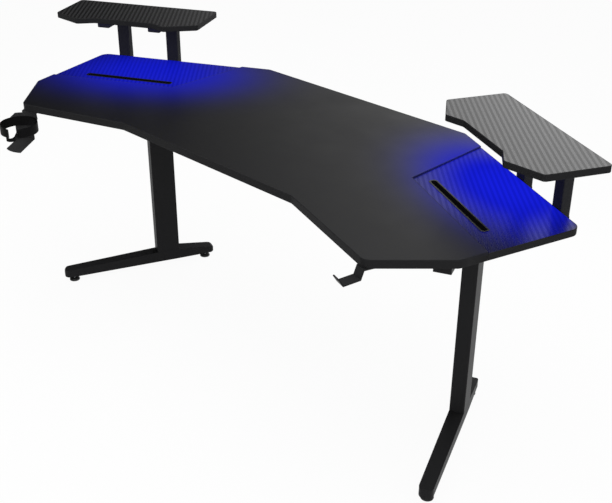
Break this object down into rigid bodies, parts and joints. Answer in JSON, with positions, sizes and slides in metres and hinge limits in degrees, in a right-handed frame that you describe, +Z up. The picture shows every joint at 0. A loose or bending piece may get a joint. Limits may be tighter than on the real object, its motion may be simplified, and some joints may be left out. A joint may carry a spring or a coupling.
{
  "type": "gaming desk",
  "caption": "Winged desk on splayed steel legs, with raised lit side shelves, slotted wing panels, a cup holder and a headphone hook.",
  "frame": {"origin": "on the floor under the middle of the bounding box", "axes": "+X to the right of the person who sits at the desk, +Y to the back, +Z up"},
  "size_m": [2.0958, 0.9034, 0.927],
  "materials": {
    "charcoal_laminate": "matte charcoal laminate on board",
    "carbon_laminate": "satin dark laminate with fine diagonal stripes",
    "edge_band": "satin black plastic edge band",
    "powder_coated_steel": "fine-textured black powder coat",
    "zinc_plated_steel": "bright zinc plate",
    "black_plastic": "moulded black plastic",
    "foot_plastic": "hard moulded plastic",
    "anodised_channel": "dark anodised",
    "light_strip": "white flexible circuit with lamps",
    "lit_diffuser": "milky plastic lit from behind in blue",
    "circuit_board": "green lacquered board"
  },
  "bodies": {
    "desk": {"accessory_screws": "zinc_plated_steel", "arm_caps": "black_plastic", "beam_lugs": "powder_coated_steel", "board_screws": "zinc_plated_steel", "column_end_plates": "zinc_plated_steel", "controller_base": "black_plastic", "controller_case": "black_plastic", "controller_circuit": "circuit_board", "cup_holder_band": "powder_coated_steel", "cup_holder_bracket": "powder_coated_steel", "front_rail": "powder_coated_steel", "headphone_hook": "powder_coated_steel", "left_column": "powder_coated_steel", "left_foot": "powder_coated_steel", "left_inner_post": "powder_coated_steel", "left_joint_plates": "zinc_plated_steel", "left_light_channel": "anodised_channel", "left_light_diffuser": "lit_diffuser", "left_light_strip": "light_strip", "left_outer_post": "powder_coated_steel", "left_panel": "carbon_laminate", "left_shelf": "carbon_laminate", "left_shelf_arms": "powder_coated_steel", "left_slot_liner": "black_plastic", "left_top_beam": "powder_coated_steel", "leg_bolts": "zinc_plated_steel", "levelling_nuts": "zinc_plated_steel", "main_board": "charcoal_laminate", "main_board_band": "edge_band", "panel_bands": "edge_band", "post_feet": "powder_coated_steel", "power_jack": "black_plastic", "rail_bolts": "zinc_plated_steel", "rail_end_plates": "powder_coated_steel", "rail_nuts": "zinc_plated_steel", "rear_rail": "powder_coated_steel", "right_column": "powder_coated_steel", "right_foot": "powder_coated_steel", "right_inner_post": "powder_coated_steel", "right_joint_plates": "zinc_plated_steel", "right_light_channel": "anodised_channel", "right_light_diffuser": "lit_diffuser", "right_light_strip": "light_strip", "right_outer_post": "powder_coated_steel", "right_panel": "carbon_laminate", "right_shelf": "carbon_laminate", "right_shelf_arms": "powder_coated_steel", "right_slot_liner": "black_plastic", "right_top_beam": "powder_coated_steel", "shelf_bands": "edge_band", "shelf_screws": "zinc_plated_steel"},
    "right_front_leveller": {"right_front_pad": "foot_plastic", "right_front_stud": "zinc_plated_steel"},
    "right_back_leveller": {"right_back_pad": "foot_plastic", "right_back_stud": "zinc_plated_steel"},
    "left_front_leveller": {"left_front_pad": "foot_plastic", "left_front_stud": "zinc_plated_steel"},
    "left_back_leveller": {"left_back_pad": "foot_plastic", "left_back_stud": "zinc_plated_steel"},
    "button": {"controller_button": "black_plastic"}
  },
  "joints": [
    {"name": "right_front_leveller_screw", "type": "slide", "parent": "desk", "child": "right_front_leveller", "axis": [0, 0, 1], "range_m": [-0.01, 0.006]},
    {"name": "right_back_leveller_screw", "type": "slide", "parent": "desk", "child": "right_back_leveller", "axis": [0, 0, 1], "range_m": [-0.01, 0.006]},
    {"name": "left_front_leveller_screw", "type": "slide", "parent": "desk", "child": "left_front_leveller", "axis": [0, 0, 1], "range_m": [-0.01, 0.006]},
    {"name": "left_back_leveller_screw", "type": "slide", "parent": "desk", "child": "left_back_leveller", "axis": [0, 0, 1], "range_m": [-0.01, 0.006]},
    {"name": "button_press", "type": "slide", "parent": "desk", "child": "button", "axis": [0, 1, 0], "range_m": [0, 0.0015], "stiffness_N_per_m": 800, "springref_m": -0.001}
  ]
}
